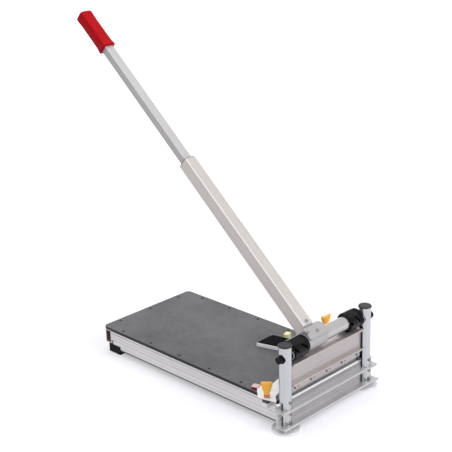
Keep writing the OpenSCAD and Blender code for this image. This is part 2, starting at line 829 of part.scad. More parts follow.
module handle_bushing() color("#8c8987") from_middle() lever_frame() at_handle() difference() {
    union() {
        translate([0, 0, lower_end - bushing_l]) linear_extrude(bushing_l) square(
            [lower_w - 2 * lower_wall - 2 * fit, lower_d - 2 * lower_wall - 2 * fit], center = true);
        translate([0, 0, lower_end]) linear_extrude(collar_h / 2)
            square([lower_w - 2 * edge, lower_d - 2 * edge], center = true);
    }
    translate([0, 0, lower_end - bushing_l - over]) linear_extrude(bushing_l + collar_h + 2 * over)
        square([upper_w + 2 * slide_gap, upper_d + 2 * slide_gap], center = true);
    translate([0, 0, lock_z]) rotate([0, 90, 0]) cylinder(h = lower_w, r = stud_r + fit);
}

grip_wall = 2.2;
grip_end = grip_start + grip_l;
upper_end = grip_end - 3 * grip_wall;

module upper_handle() color("#cbc7c6") from_middle() lever_frame() at_handle()
    box_tube(upper_w, upper_d, upper_wall, lower_end - upper_in, upper_end);

// Plug in the upper tube's foot, which keeps it central in the lower tube
module guide_plug() color("#2a2a2c") from_middle() lever_frame() at_handle() {
    bore_w = lower_w - 2 * lower_wall - 2 * slide_gap;
    bore_d = lower_d - 2 * lower_wall - 2 * slide_gap;
    spigot_w = upper_w - 2 * upper_wall - 2 * fit;
    spigot_d = upper_d - 2 * upper_wall - 2 * fit;
    translate([0, 0, lower_end - upper_in - plug_t]) {
        linear_extrude(plug_t) square([bore_w, bore_d], center = true);
        linear_extrude(3 * plug_t) square([spigot_w, spigot_d], center = true);
    }
}

// Rings of the grip: share of its length, extra width and corner radius share
grip_shares = [[0, 4.6, 0.3], [0.035, 4.8, 0.3], [0.09, 1.6, 0.28], [0.2, 0.2, 0.28],
    [0.5, 0.9, 0.3], [0.78, 0.1, 0.3], [0.86, 1.8, 0.32], [0.93, 2.2, 0.36], [0.975, 0.4, 0.42],
    [1, -3.6, 0.5]];

function grip_ring(k) =
    let (w = upper_w + 2 * grip_wall + grip_shares[k][1] * grip_wall / 2,
        d = upper_d + 2 * grip_wall + grip_shares[k][1] * grip_wall / 2)
    [for (p = round_rect(w, d, grip_shares[k][2] * d, 5))
        [p[0], p[1], grip_start + grip_shares[k][0] * grip_l]];

module grip() color("#b4141e") from_middle() lever_frame() at_handle() difference() {
    m = len(grip_ring(0));
    n = len(grip_shares);
    points = [for (k = [0:n - 1]) each grip_ring(k)];
    sides = [for (k = [0:n - 2], j = [0:m - 1]) each [
        [k * m + j, k * m + (j + 1) % m, (k + 1) * m + j],
        [k * m + (j + 1) % m, (k + 1) * m + (j + 1) % m, (k + 1) * m + j]]];
    ends = [[for (j = [m - 1:-1:0]) j], [for (j = [0:m - 1]) (n - 1) * m + j]];
    polyhedron(points, [for (f = concat(sides, ends)) [for (i = [len(f) - 1:-1:0]) f[i]]]);
    translate([0, 0, grip_start - over]) linear_extrude(upper_end - grip_start + over)
        polygon(round_rect(upper_w + 2 * fit, upper_d + 2 * fit, tube_corner));
}

// Hand screw that holds the upper tube, on the side away from the wing knobs' side
module lock_screw() color("#1d1d20") from_middle() lever_frame() at_handle()
    translate([0, 0, lock_z]) rotate([0, 90, 0]) {
        head_r = 8;
        lobes = 10;
        head_l = 7;
        tip = upper_w / 2 + slide_gap + fit;
        translate([0, 0, tip]) cylinder(h = lower_w / 2 + slide_gap - tip, r = stud_r);
        translate([0, 0, lower_w / 2 + slide_gap]) difference() {
            cylinder(h = head_l, r = head_r);
            for (i = [0:lobes - 1]) rotate([0, 0, 360 * i / lobes])
                translate([head_r + edge, 0, -over]) cylinder(h = head_l + 2 * over, r = 2 * edge,
                    $fn = 24);
        }
    }

// Jaw that runs in the left rail's groove under the fence's pivot
module fence_jaw() color("#c9c6c4") from_middle() {
    x0 = pivot_x - 2.2 * stud_r;
    half_l = 7;
    top = bar_z - fit;
    difference() {
        union() {
            block([x0, pivot_y - half_l, groove_z - 2 * groove_h],
                [-table_half - slide_gap, pivot_y + half_l, top]);
            block([-table_half - slide_gap, pivot_y - half_l, groove_z - groove_h / 2 + slide_gap],
                [-table_half + groove_depth - slide_gap, pivot_y + half_l,
                    groove_z + groove_h / 2 - slide_gap]);
        }
        translate([pivot_x, pivot_y, groove_z]) cylinder(h = 2 * table_t + over + groove_h,
            r = stud_r + fit);
    }
}

// Stud of the fence's pivot, from the jaw up through bar and sleeve
module fence_stud() color("#8a3b2a") from_middle() translate([pivot_x, pivot_y, 0]) {
    sleeve_r = 6.4;
    translate([0, 0, groove_z]) cylinder(h = bar_top + sleeve_h + knob_stem - groove_z, r = stud_r);
    translate([0, 0, bar_top + slide_gap]) cylinder(h = sleeve_h, r = sleeve_r);
}

// Outline of the fence bar, with its wide head round the pivot
module bar_outline() {
    tail = 16;
    head_back = 1.25 * bar_w;
    reach = norm([pivot_x + half, pivot_y]) - post_r - 2 * slide_gap;
    polygon([[-tail / 2, -sqrt(pow(reach, 2) - pow(tail / 2, 2))], [tail - stud_r, -bar_w / 2],
        [stop_x + tail, -bar_w / 2],
        [stop_x + tail, bar_w / 2], [2.7 * bar_w, bar_w / 2], [2 * bar_w, 0.56 * bar_w],
        [1.45 * bar_w, head_back], [0.85 * bar_w, head_back], [-0.2 * bar_w, 0.64 * bar_w]]);
}

module fence_bar() color("#f1f1f1") from_middle() fence_frame() difference() {
    line_w = 1.4;
    line_l = 22;
    translate([0, 0, bar_z]) linear_extrude(bar_t) bar_outline();
    cylinder(h = bar_top + over, r = stud_r + fit);
    hull() for (x = [stop_x - stop_travel, stop_x])
        translate([x, 0, bar_z - over]) cylinder(h = bar_t + 2 * over, r = stud_r + slide_gap,
            $fn = 32);
    translate([1.27 * bar_w, -0.05 * bar_w, bar_top - edge]) rotate([0, 0, -35])
        translate([-line_l / 2, -line_w / 2, 0]) cube([line_l, line_w, edge + over]);
}

// Outline of the fence's arm, less a rim all round
module arm_outline(rim = 0) {
    y1 = bar_w / 2 + arm_l - rim;
    skew = 0.25 * arm_w;
    polygon([[arm_x + rim, bar_w / 2 + rim], [arm_x + arm_w - rim, bar_w / 2 + rim],
        [arm_x + 1.1 * arm_w - rim, y1 - skew], [arm_x + rim, y1]]);
}

module fence_arm() color("#efefef") from_middle() fence_frame()
    translate([0, 0, bar_z]) linear_extrude(arm_t) arm_outline();

// Rubber top of the arm, with ribs along it
module ribbed_pad() color("#151517") from_middle() fence_frame() intersection() {
    rib_p = arm_w / rib_n;
    translate([0, 0, bar_z + arm_t]) linear_extrude(2 * pad_t) arm_outline(pad_rim);
    union() {
        translate([arm_x, 0, bar_z + arm_t]) cube([2 * arm_w, 2 * arm_l, pad_t / 2]);
        for (i = [0:rib_n - 1]) translate([arm_x + i * rib_p, 0, bar_z + arm_t])
            cube([rib_p / 2, 2 * arm_l, pad_t]);
    }
}

module yellow_slider() color("#e8e4a6") from_middle() fence_frame() {
    slider_w = 20;
    slider_l = 12;
    slider_h = 16;
    y0 = bar_w / 2 + 0.53 * arm_l;
    difference() {
        block([arm_x + arm_w, y0, bar_z], [arm_x + arm_w + slider_w, y0 + slider_l, bar_z + slider_h]);
        translate([0, 0, bar_z - over]) linear_extrude(slider_h + 2 * over) arm_outline();
    }
}

module red_pointer() color("#a8322c") from_middle() fence_frame() {
    y0 = 1.25 * bar_w;
    pointer_w = 14;
    pointer_h = 6;
    translate([0.9 * bar_w, y0, bar_z]) linear_extrude(pointer_h)
        polygon([[0, 0], [pointer_w, 0], [pointer_w, pointer_w], [pointer_w / 2, pointer_w + edge],
            [0, pointer_w]]);
}

module stop_block() color("#e9e9ea") from_middle() fence_frame() {
    half_l = 10;
    translate([stop_x, 0, bar_top + slide_gap]) difference() {
        linear_extrude(stop_h) polygon(round_rect(2 * half_l, bar_w - 2 * edge, 2 * edge));
        translate([0, 0, stop_h - head_h]) cylinder(h = head_h + over, r = screw_r + 2 * edge);
    }
    translate([stop_x, 0, bar_z]) cylinder(h = bar_t + slide_gap + fit, r = stud_r);
    translate([stop_x, 0, bar_top + stop_h - head_h])
        cylinder(h = head_h + knob_stem / 2, r = stud_r);
}

// Wing knob standing on z = 0: a turned stem that opens into two wings
module wing_knob(high, bore_l) {
    foot_r = 5.2;
    neck_r = 4.6;
    wing_t = 7;
    tip = 3;
    wing = [[neck_r, 0.12 * high], [knob_r - tip / 2, 0.55 * high], [knob_r, 0.7 * high],
        [knob_r, high - tip], [knob_r - tip / 2, high], [knob_r - 1.5 * tip, high],
        [neck_r, high - tip]];
    difference() {
        union() {
            rotate_extrude() polygon([[0, 0], [foot_r, 0], [foot_r, edge], [neck_r, 2 * edge],
                [neck_r + edge, 0.5 * high], [neck_r + edge, high - 1.5 * tip],
                [neck_r, high - tip], [0, high - tip]]);
            translate([0, wing_t / 2, 0]) rotate([90, 0, 0]) linear_extrude(wing_t) polygon(
                concat(wing, [for (i = [len(wing) - 1:-1:0]) [-wing[i][0], wing[i][1]]]));
        }
        translate([0, 0, -over]) cylinder(h = bore_l + over + slide_gap, r = stud_r + fit);
    }
}

module left_wing_knob() color("#ef9a2c") from_middle()
    translate([pivot_x, pivot_y, bar_top + sleeve_h + 2 * slide_gap]) rotate([0, 0, -lever_angle])
        wing_knob(left_knob_h, knob_stem);

module right_wing_knob() color("#ef9a2c") from_middle() fence_frame()
    translate([stop_x, 0, bar_top + stop_h + 2 * slide_gap]) rotate([0, 0, -lever_angle / 2])
        wing_knob(right_knob_h, knob_stem / 2);

base_beam();
left_foot_disc();
right_foot_disc();
left_post();
right_post();
left_post_cap();
right_post_cap();
left_slot_liner();
right_slot_liner();
left_spring_seat();
right_spring_seat();
left_return_spring();
right_return_spring();
left_axle_bushing();
right_axle_bushing();
post_screws();
left_rail();
right_rail();
rear_rail();
corner_brackets();
bracket_screws();
table_board();
table_screws();
rear_left_foot();
rear_right_foot();
blade_beam();
blade();
blade_screws();
left_cam();
right_cam();
thrust_washers();
cam_tube();
cam_spacer();
clamp_block();
clamp_screws();
lower_handle();
handle_bolt();
handle_bushing();
upper_handle();
guide_plug();
grip();
lock_screw();
fence_jaw();
fence_stud();
fence_bar();
fence_arm();
ribbed_pad();
yellow_slider();
red_pointer();
stop_block();
left_wing_knob();
right_wing_knob();
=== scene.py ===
# %% [markdown]
# # A bench cutter for laminate planks
# The real tool is mostly aluminium: two posts, an extruded base and blade carriage, a dark
# coated table and a long lever in two tubes. Its shapes come from exact CAD solids, and here
# they get their finishes. A CAD solid shows facets, sharp rims or too little detail where a
# section changes from end to end. So the grip, the drums, the springs and the knobs are new
# meshes, with surfaces worked out in numpy. Lengths are in metres.

# %% Load the CAD frame
import bpy
import math
import numpy as np
from mathutils import Matrix, Vector


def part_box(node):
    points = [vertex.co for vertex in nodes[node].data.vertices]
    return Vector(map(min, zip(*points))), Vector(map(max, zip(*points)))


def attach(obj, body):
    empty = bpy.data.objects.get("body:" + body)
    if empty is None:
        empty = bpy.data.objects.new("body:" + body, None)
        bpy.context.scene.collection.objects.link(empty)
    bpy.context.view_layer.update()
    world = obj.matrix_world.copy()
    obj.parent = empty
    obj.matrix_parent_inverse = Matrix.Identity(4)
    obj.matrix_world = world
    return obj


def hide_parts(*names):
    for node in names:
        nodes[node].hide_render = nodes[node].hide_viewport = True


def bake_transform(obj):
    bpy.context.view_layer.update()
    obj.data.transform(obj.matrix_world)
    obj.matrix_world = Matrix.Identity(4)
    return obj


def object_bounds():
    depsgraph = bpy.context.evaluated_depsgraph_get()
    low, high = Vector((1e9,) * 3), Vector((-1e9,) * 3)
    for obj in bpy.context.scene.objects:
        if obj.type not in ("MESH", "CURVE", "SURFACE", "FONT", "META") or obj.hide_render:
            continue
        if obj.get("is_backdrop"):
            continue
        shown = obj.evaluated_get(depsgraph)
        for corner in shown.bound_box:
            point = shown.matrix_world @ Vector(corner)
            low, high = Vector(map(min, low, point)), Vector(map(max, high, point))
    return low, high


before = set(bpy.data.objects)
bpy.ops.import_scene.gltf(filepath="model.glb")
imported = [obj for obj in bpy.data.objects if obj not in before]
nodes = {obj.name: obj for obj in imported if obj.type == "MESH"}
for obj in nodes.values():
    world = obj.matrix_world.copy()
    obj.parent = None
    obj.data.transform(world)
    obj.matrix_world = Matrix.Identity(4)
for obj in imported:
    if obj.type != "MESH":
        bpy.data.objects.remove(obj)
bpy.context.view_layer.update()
scene = bpy.context.scene
scene.view_settings.view_transform = "Standard"

# %% [markdown]
# ## The camera
# The photograph looks down on the cutter's front left corner. A camera can be aimed by eye,
# but here its direction, height and roll are known angles, so its three axes are worked out
# and written into one matrix: right, up and back are the columns.

# %% Camera at the photograph's angle
turn, tilt, roll = math.radians(44.94), math.radians(19.757), math.radians(-1.604)
camera_place = (-1.51151, -1.3542, 1.18399)
sensor_mm, lens_mm = 36, 87.63
nearest, farthest = 0.05, 60

right = Vector((math.cos(turn), -math.sin(turn), 0))
ahead = Vector((math.cos(tilt) * math.sin(turn), math.cos(tilt) * math.cos(turn), -math.sin(tilt)))
up = right.cross(ahead)
cam_right = math.cos(roll) * right + math.sin(roll) * up
cam_up = math.cos(roll) * up - math.sin(roll) * right
cam_data = bpy.data.cameras.new("camera")
cam_data.sensor_width, cam_data.lens = sensor_mm, lens_mm
cam_data.clip_start, cam_data.clip_end = nearest, farthest
camera = bpy.data.objects.new("camera", cam_data)
scene.collection.objects.link(camera)
camera.matrix_world = (Matrix.Translation(camera_place)
                       @ Matrix((cam_right, cam_up, -ahead)).transposed().to_4x4())
scene.camera = camera
print("camera looks along", tuple(round(c, 3) for c in ahead))

# %% [markdown]
# ## Shader maths as Python
# A finish is a small sum: a base colour, plus streaks, plus specks. Wiring Math nodes by hand
# hides that sum. So one class wraps a socket and overloads the operators, and each
# expression adds its own nodes. One method makes every other kind of node.

# %% Numbers and finishes
class Num:
    """A number that varies over a surface: one output socket with Python's operators."""

    def __init__(self, finish, socket):
        self.finish, self.socket = finish, socket

    def _do(self, operation, a, b, clamp=False):
        made = self.finish.node("ShaderNodeMath", {"operation": operation, "use_clamp": clamp},
                                {0: a, 1: b})
        return Num(self.finish, made.outputs[0])

    def __add__(self, other): return self._do("ADD", self, other)
    def __radd__(self, other): return self._do("ADD", other, self)
    def __sub__(self, other): return self._do("SUBTRACT", self, other)
    def __rsub__(self, other): return self._do("SUBTRACT", other, self)
    def __mul__(self, other): return self._do("MULTIPLY", self, other)
    def __rmul__(self, other): return self._do("MULTIPLY", other, self)
    def __truediv__(self, other): return self._do("DIVIDE", self, other)
    def __rtruediv__(self, other): return self._do("DIVIDE", other, self)
    def over(self, limit): return self._do("GREATER_THAN", self, limit)
    def clamped(self): return self._do("ADD", self, 0.0, True)


class Finish:
    """One material: a Principled shader and the nodes that feed it."""

    def __init__(self, name, **sockets):
        self.material = bpy.data.materials.new(name)
        self.material.use_nodes = True
        self.tree = self.material.node_tree
        self.shader = self.tree.nodes["Principled BSDF"]
        self.coords = self.node("ShaderNodeTexCoord").outputs["Object"]
        for socket, value in sockets.items():
            self.set(socket.replace("_", " "), value)

    def node(self, kind, settings=None, inputs=None):
        """Adds a node of any kind: its settings first, then values or links for its sockets."""
        made = self.tree.nodes.new(kind)
        for key, value in (settings or {}).items():
            setattr(made, key, value)
        for key, value in (inputs or {}).items():
            self.feed(made.inputs[key], value)
        return made

    def feed(self, socket, value):
        """Links a Num or a socket, or writes a plain value."""
        if isinstance(value, Num):
            value = value.socket
        if isinstance(value, bpy.types.NodeSocket):
            self.tree.links.new(value, socket)
        else:
            socket.default_value = value

    def set(self, name, value):
        self.feed(self.shader.inputs[name], value)

    def noise(self, scale, stretch=(1, 1, 1), turned=(0, 0, 0), detail=3.0, rough=0.5):
        """Noise from 0 to 1 in the object's own space, stretched along its axes."""
        place = self.node("ShaderNodeMapping", {"vector_type": "TEXTURE"},
                          {"Vector": self.coords, "Rotation": turned, "Scale": stretch})
        made = self.node("ShaderNodeTexNoise", {}, {"Vector": place.outputs[0], "Scale": scale,
                                                   "Detail": detail, "Roughness": rough})
        return Num(self, made.outputs[0])

    def along(self, axis):
        """Place of the surface along axis 0, 1 or 2; along(2) is its height above the floor."""
        made = self.node("ShaderNodeSeparateXYZ", {}, {"Vector": self.coords})
        return Num(self, made.outputs[axis])

    def mix(self, a, b, factor):
        """A colour between a and b. Inputs 6 and 7 and output 2 are the node's colour sockets."""
        made = self.node("ShaderNodeMix", {"data_type": "RGBA"}, {"Factor": factor, 6: a, 7: b})
        return made.outputs[2]

    def varied(self, colour, spread, shade, gain=1.0):
        """A screen colour times gain, which shade takes from 1 - spread to 1 + spread of it."""
        return self.mix(paint(*colour, (1 - spread) * gain), paint(*colour, (1 + spread) * gain),
                        shade)

    def relief(self, height, distance, strength, rim):
        """Bumps of a height from 0 to 1, on edges that are rounded by rim metres."""
        rounded = self.node("ShaderNodeBevel", {"samples": 4}, {"Radius": rim}).outputs[0]
        bump = self.node("ShaderNodeBump", {}, {"Height": height, "Distance": distance,
                                                "Strength": strength, "Normal": rounded})
        self.set("Normal", bump.outputs[0])


def paint(red, green, blue, gain=1.0):
    """A screen colour of 0 to 255, taken off the sRGB curve and multiplied by gain."""
    lin = [((c / 255 + 0.055) / 1.055) ** 2.4 if c > 10 else c / 3294 for c in (red, green, blue)]
    return (*[min(1.0, c * gain) for c in lin], 1.0)


print("shader helpers ready")

# %% [markdown]
# ## Aluminium
# Extruded aluminium carries fine lines along its length, because the die drags it that way.
# A stretched noise gives them: long along the extrusion and very short across it. The same
# recipe serves beams (along X), rails (along Y) and the handle (along its lean), with its
# own colour and gloss for each. The posts are drawn tube, smoother and bluer. Bands paint
# light and shade into the colour: painted shade in steps and grooves too fine for the CAD
# solids, painted highlights on edges, and painted light or shade on whole faces.

# %% Drawn and extruded metal
lean = math.radians(48.7)
leaned = (-lean, 0, 0)
plain, along_x, along_y, along_z = (1, 1, 1), (60, 1, 1), (1, 60, 1), (1, 1, 60)
scratch_depth, metal_rim = 0.0001, 0.0005


def at_heights(*strips):
    """Bands across the height: each strip is (low, high, gain)."""
    return [(2, *strip) for strip in strips]


def drawn_metal(name, colour, stretch, turned=(0, 0, 0), rough=0.38, metal=0.75, bands=()):
    """Metal whose fine lines run along the stretched axis.

    Each band (axis, low, high, gain) is a strip between two places along an axis, where the
    colour is the metal's colour times gain: mask = over(low) * (1 - over(high)).
    """
    f = Finish(name, Metallic=metal)
    lines = f.noise(900, stretch, turned, 4, 0.6)
    streaks = f.noise(240, stretch, turned, 2)
    clouds = f.noise(14, turned=turned)
    shade = ((lines - 0.5) * 0.3 + (streaks - 0.5) * 0.9 + (clouds - 0.5) * 0.5 + 0.5).clamped()
    tone = f.varied(colour, 0.12, shade)
    for axis, low, high, gain in bands:
        mask = f.along(axis).over(low) * (1 - f.along(axis).over(high))
        tone = f.mix(tone, f.varied(colour, 0.15, shade, gain), mask)
    f.set("Base Color", tone)
    f.set("Roughness", rough + (lines - 0.5) * 0.12 + (clouds - 0.5) * 0.1)
    f.relief(lines, scratch_depth, 0.6, metal_rim)
    return f.material


flange_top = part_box("blade_beam")[1][2]
# Carriage bands: a painted highlight on the middle shelf's edge, painted shade in two grooves
# above it, and painted light on the top flange, which the drums shade.
beam_metal = drawn_metal("beam_metal", (183, 177, 175), along_x, rough=0.3, bands=at_heights(
    (0.0986, 0.0992, 1.25), (0.1058, 0.1064, 0.55), (0.1134, 0.1138, 0.8),
    (flange_top - 0.0004, 1, 1.45)))
# Base bands: painted shade in five fine grooves, on the shelf's front lip and on the web above the
# shelf, darkest near the top; a painted highlight on the anvil's top face.
base_metal = drawn_metal("base_metal", (200, 198, 200), along_x, metal=0.5, bands=at_heights(
    (0.0203, 0.0210, 0.6), (0.0252, 0.0257, 0.82), (0.0302, 0.0308, 0.7), (0.0352, 0.0356, 0.85),
    (0.0400, 0.0406, 0.7), (0.0470, 0.0498, 0.86), (0.0504, 0.0560, 0.82),
    (0.0560, 0.0640, 0.64), (0.0642, 0.1, 1.6)))
# Rail bands: painted shade along the bottom, in three grooves and as a near-black strip under the
# table's edge; from the bottom band to the middle the rail is slightly lighter.
rail_metal = drawn_metal("rail_metal", (222, 220, 221), along_y, metal=0.4, bands=at_heights(
    (0.0, 0.0142, 0.12), (0.0142, 0.0346, 1.05), (0.0208, 0.0215, 0.55), (0.0346, 0.0354, 0.35),
    (0.0432, 0.0437, 0.75), (0.0572, 1, 0.06)))
post_metal = drawn_metal("post_metal", (194, 197, 198), along_z, rough=0.24, metal=0.85)
disc_metal = drawn_metal("disc_metal", (236, 236, 238), plain, rough=0.3, metal=0.2)

# A painted highlight runs along the front left edge of both handle tubes, and painted shade
# darkens the upper tube's left side. A side starts at the tube's own lowest X and is side_depth
# thick.
side_depth = 0.0001
left_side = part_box("lower_handle")[0][0]
handle_metal = drawn_metal("handle_metal", (197, 191, 187), along_z, leaned, 0.34, 0.22, bands=[
    (0, left_side + side_depth, left_side + 0.0013, 2.0)])
left_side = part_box("upper_handle")[0][0]
inner_metal = drawn_metal("inner_metal", (190, 188, 189), along_z, leaned, 0.32, 0.15, bands=[
    (0, -1, left_side + side_depth, 0.8),
    (0, left_side + side_depth, left_side + 0.0010, 1.15)])

tube_metal = drawn_metal("tube_metal", (186, 183, 183), along_x, rough=0.2, metal=0.85)
block_metal = drawn_metal("block_metal", (172, 170, 171), plain, leaned, 0.34, 0.7)
blade_metal = drawn_metal("blade_metal", (178, 173, 172), (1, 1, 40), rough=0.25, metal=0.9)
screw_metal = drawn_metal("screw_metal", (170, 172, 178), plain, rough=0.3, metal=1.0)
dark_steel = drawn_metal("dark_steel", (16, 16, 17), plain, rough=0.5, metal=0.2)
bolt_steel = drawn_metal("bolt_steel", (158, 158, 163), plain, rough=0.22, metal=1.0)
cap_steel = drawn_metal("cap_steel", (142, 141, 144), plain, rough=0.3, metal=0.9)
pin_steel = drawn_metal("pin_steel", (138, 133, 132), plain, rough=0.4, metal=0.5)
print("metals ready, materials so far:", len(bpy.data.materials))

# %% [markdown]
# ## The table's coating
# The table is dark grey and slightly mottled, like a hard coating on cast or rolled sheet.
# Three sizes of noise are added: cloudy patches a hand wide, blotches, and grain.

# %% Table coating
def table_coating(board_top):
    """Dark coating: patches, blotches and grain, on top; the cut edge below is near black."""
    f = Finish("table_coating", Metallic=0.15, Specular_IOR_Level=0.4)
    patches = f.noise(9)
    blotches = f.noise(75, detail=4, rough=0.65)
    grain = f.noise(650, detail=2)
    shade = (0.5 + (patches - 0.5) * 1.3 + (blotches - 0.5) * 1.2 + (grain - 0.5) * 0.8).clamped()
    top = f.mix(paint(70, 69, 72), paint(108, 107, 111), shade)
    f.set("Base Color", f.mix(paint(6, 6, 8), top, f.along(2).over(board_top - 0.0001)))
    f.set("Roughness", 0.48 + (blotches - 0.5) * 0.2)
    f.relief(blotches * 0.5 + grain * 0.5, 0.00012, 0.6, 0.0004)
    return f.material


table_finish = table_coating(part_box("table_board")[1][2])
print("table coating made")

# %% [markdown]
# ## Plastics and rubber
# Moulded plastic has a very fine grain from the mould and small changes of gloss. One recipe
# with a colour, a roughness and a grain height covers caps, knobs, fence and grip.

# %% Moulded plastic
moulded_rim = 0.0004


def moulded(name, colour, rough=0.4, grain=0.00006, spread=0.12, scale=900, shine=0.5, layers=()):
    """Plastic or rubber with mould grain and slight clouds of colour.

    Each layer (from height, colour) takes over above that height.
    """
    f = Finish(name, Metallic=0.0, Specular_IOR_Level=shine)
    grit = f.noise(scale, detail=2)
    clouds = f.noise(30)
    shade = ((clouds - 0.5) * 0.9 + (grit - 0.5) * 0.4 + 0.5).clamped()
    tone = f.varied(colour, spread, shade)
    for start, other in layers:
        tone = f.mix(tone, f.varied(other, spread, shade), f.along(2).over(start))
    f.set("Base Color", tone)
    f.set("Roughness", rough + (grit - 0.5) * 0.15 + (clouds - 0.5) * 0.1)
    f.relief(grit, grain, 0.7, moulded_rim)
    return f.material


cap_plastic = moulded("cap_plastic", (46, 46, 49), 0.42, shine=0.28)
hub_black = moulded("hub_black", (5, 5, 7), 0.16, 0.00003, shine=0.14)
slide_black = moulded("slide_black", (18, 18, 19), 0.5, shine=0.15)
foot_rubber = moulded("foot_rubber", (20, 20, 21), 0.65, 0.0001, shine=0.15)
# The pad's rib tops are a lighter grey: a painted highlight.
rib_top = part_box("ribbed_pad")[1][2]
pad_rubber = moulded("pad_rubber", (4, 4, 6), 0.55, 0.0001, shine=0.05,
                     layers=[(rib_top - 0.0004, (20, 20, 24))])
fence_white = moulded("fence_white", (251, 251, 252), 0.4, 0.00003, 0.03, shine=0.3)
stud_amber = moulded("stud_amber", (204, 138, 94), 0.4, shine=0.3)
# The pointer is dark red at its foot, red in the middle and pale pink on top: painted shade below
# and a painted highlight above.
foot, head = (corner[2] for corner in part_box("red_pointer"))
pointer_red = moulded("pointer_red", (84, 20, 30), 0.4, shine=0.3, layers=[
    (foot * 0.65 + head * 0.35, (190, 44, 58)), (foot * 0.25 + head * 0.75, (236, 206, 206))])
slider_yellow = moulded("slider_yellow", (236, 232, 176), 0.4, spread=0.05)
knob_orange = moulded("knob_orange", (255, 184, 64), 0.32, 0.00004, 0.05, shine=0.3)
grip_red = moulded("grip_red", (172, 6, 18), 0.5, 0.00012, 0.1, 1400, shine=0.08)
print("plastics ready, materials so far:", len(bpy.data.materials))

# %% [markdown]
# ## Dressing the CAD solids
# Most pieces keep their CAD shape and only need a finish. A table of node and finish names
# does it in one pass. A mesh keeps a single slot, so each node has one finish.

# %% One finish per node
both_sides = {
    "rail": rail_metal, "post": post_metal, "foot_disc": disc_metal, "post_cap": cap_plastic,
    "slot_liner": slide_black, "spring_seat": screw_metal, "return_spring": screw_metal,
    "axle_bushing": slide_black, "cam": hub_black, "wing_knob": knob_orange,
}
dress = {f"{side}_{name}": finish for side in ("left", "right")
         for name, finish in both_sides.items()}
dress |= {
    "base_beam": base_metal, "blade_beam": beam_metal, "corner_brackets": rail_metal,
    "rear_rail": beam_metal, "post_screws": cap_steel, "bracket_screws": screw_metal,
    "table_screws": dark_steel, "table_board": table_finish, "rear_left_foot": foot_rubber,
    "rear_right_foot": foot_rubber, "blade": blade_metal, "blade_screws": pin_steel,
    "thrust_washers": screw_metal, "cam_tube": tube_metal, "cam_spacer": screw_metal,
    "clamp_block": block_metal, "clamp_screws": bolt_steel, "lower_handle": handle_metal,
    "upper_handle": inner_metal, "handle_bolt": bolt_steel, "handle_bushing": cap_plastic,
    "guide_plug": slide_black, "grip": grip_red, "lock_screw": slide_black,
    "fence_jaw": rail_metal, "fence_stud": stud_amber, "fence_bar": fence_white,
    "fence_arm": fence_white, "ribbed_pad": pad_rubber, "yellow_slider": slider_yellow,
    "red_pointer": pointer_red, "stop_block": fence_white,
}
for name, node in nodes.items():
    node.data.materials.clear()
    node.data.materials.append(dress[name])
print("dressed nodes:", len(dress), "of", len(nodes))

# %% [markdown]
# ## Surfaces from rings
# A moulded piece has a section that changes from end to end. A subdivision cage could give
# that, but its final size is hard to predict. Here each new piece is a stack of rings, worked
# out as one numpy array of ring, point and coordinate, so every width is a number that can
# be checked. Pieces on the lever are worked out upright and then leaned about its axle.

# %% Rings to mesh
axle = (0.132, 0.0, 0.167)
handle_x, handle_y = -0.040, -0.002


def shell(name, rings, finish, body, node, sharp=None):
    """Closed skin over rings that run counter-clockwise round the piece's axis.

    Point j of ring i is vertex i * m + j. Four neighbours make a face, and each end is
    closed by a fan to the middle of its ring. Without a body the piece is not attached to one.
    Edges that turn by more than sharp degrees stay crisp.
    """
    n, m, _ = rings.shape
    i, j = np.meshgrid(np.arange(n - 1), np.arange(m), indexing="ij")
    k = (j + 1) % m
    sides = np.stack([i * m + j, i * m + k, (i + 1) * m + k, (i + 1) * m + j], -1).reshape(-1, 4)
    j, k = np.arange(m), (np.arange(m) + 1) % m
    start = np.stack([np.full(m, n * m), k, j], -1)
    end = np.stack([np.full(m, n * m + 1), (n - 1) * m + j, (n - 1) * m + k], -1)
    points = np.concatenate([rings.reshape(-1, 3), rings[[0, -1]].mean(1)])
    mesh = bpy.data.meshes.new(name)
    mesh.from_pydata(points.tolist(), [], sides.tolist() + start.tolist() + end.tolist())
    mesh.materials.append(finish)
    mesh.shade_smooth()
    if sharp:
        mesh.set_sharp_from_angle(angle=math.radians(sharp))
    piece = bpy.data.objects.new(name, mesh)
    scene.collection.objects.link(piece)
    if body:
        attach(piece, body)
    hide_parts(node)
    print(name, "faces:", len(mesh.polygons), "size mm:", np.round(np.ptp(points, 0) * 1000, 1))
    return piece


def oval(a, b, power, n):
    """Superellipse: x = a * |cos|^(2/power), y = b * |sin|^(2/power), each with its own sign.

    a, b and power are arrays with one value per ring. Power 2 is an ellipse, and a higher
    power is a rectangle with rounder or tighter corners.
    """
    angle = np.linspace(0, 2 * np.pi, n, endpoint=False)
    c, s = np.cos(angle), np.sin(angle)
    a, b, power = (np.asarray(v, float)[:, None] for v in (a, b, power))
    return (a * np.sign(c) * np.abs(c) ** (2 / power), b * np.sign(s) * np.abs(s) ** (2 / power))


def smoothed(values, reach):
    """Running mean over reach neighbours on each side."""
    width = 2 * reach + 1
    return np.convolve(np.pad(values, reach, "edge"), np.ones(width) / width, "valid")


def on_lever(x, y, z):
    """Turns a point's height along the handle and its depth by the lean, about the axle."""
    return np.stack([axle[0] + x, axle[1] + y * math.cos(lean) + z * math.sin(lean),
                     axle[2] - y * math.sin(lean) + z * math.cos(lean)], -1)


print("ring helpers ready")

# %% [markdown]
# ## The grip
# A soft red sleeve on the end of the upper tube. It starts with a slightly thicker collar and
# ends in a rounded head, and shallow grooves cross its lower half. Its section is close to the
# tube's: a rectangle with rounded corners, so a superellipse fits better than a circle.

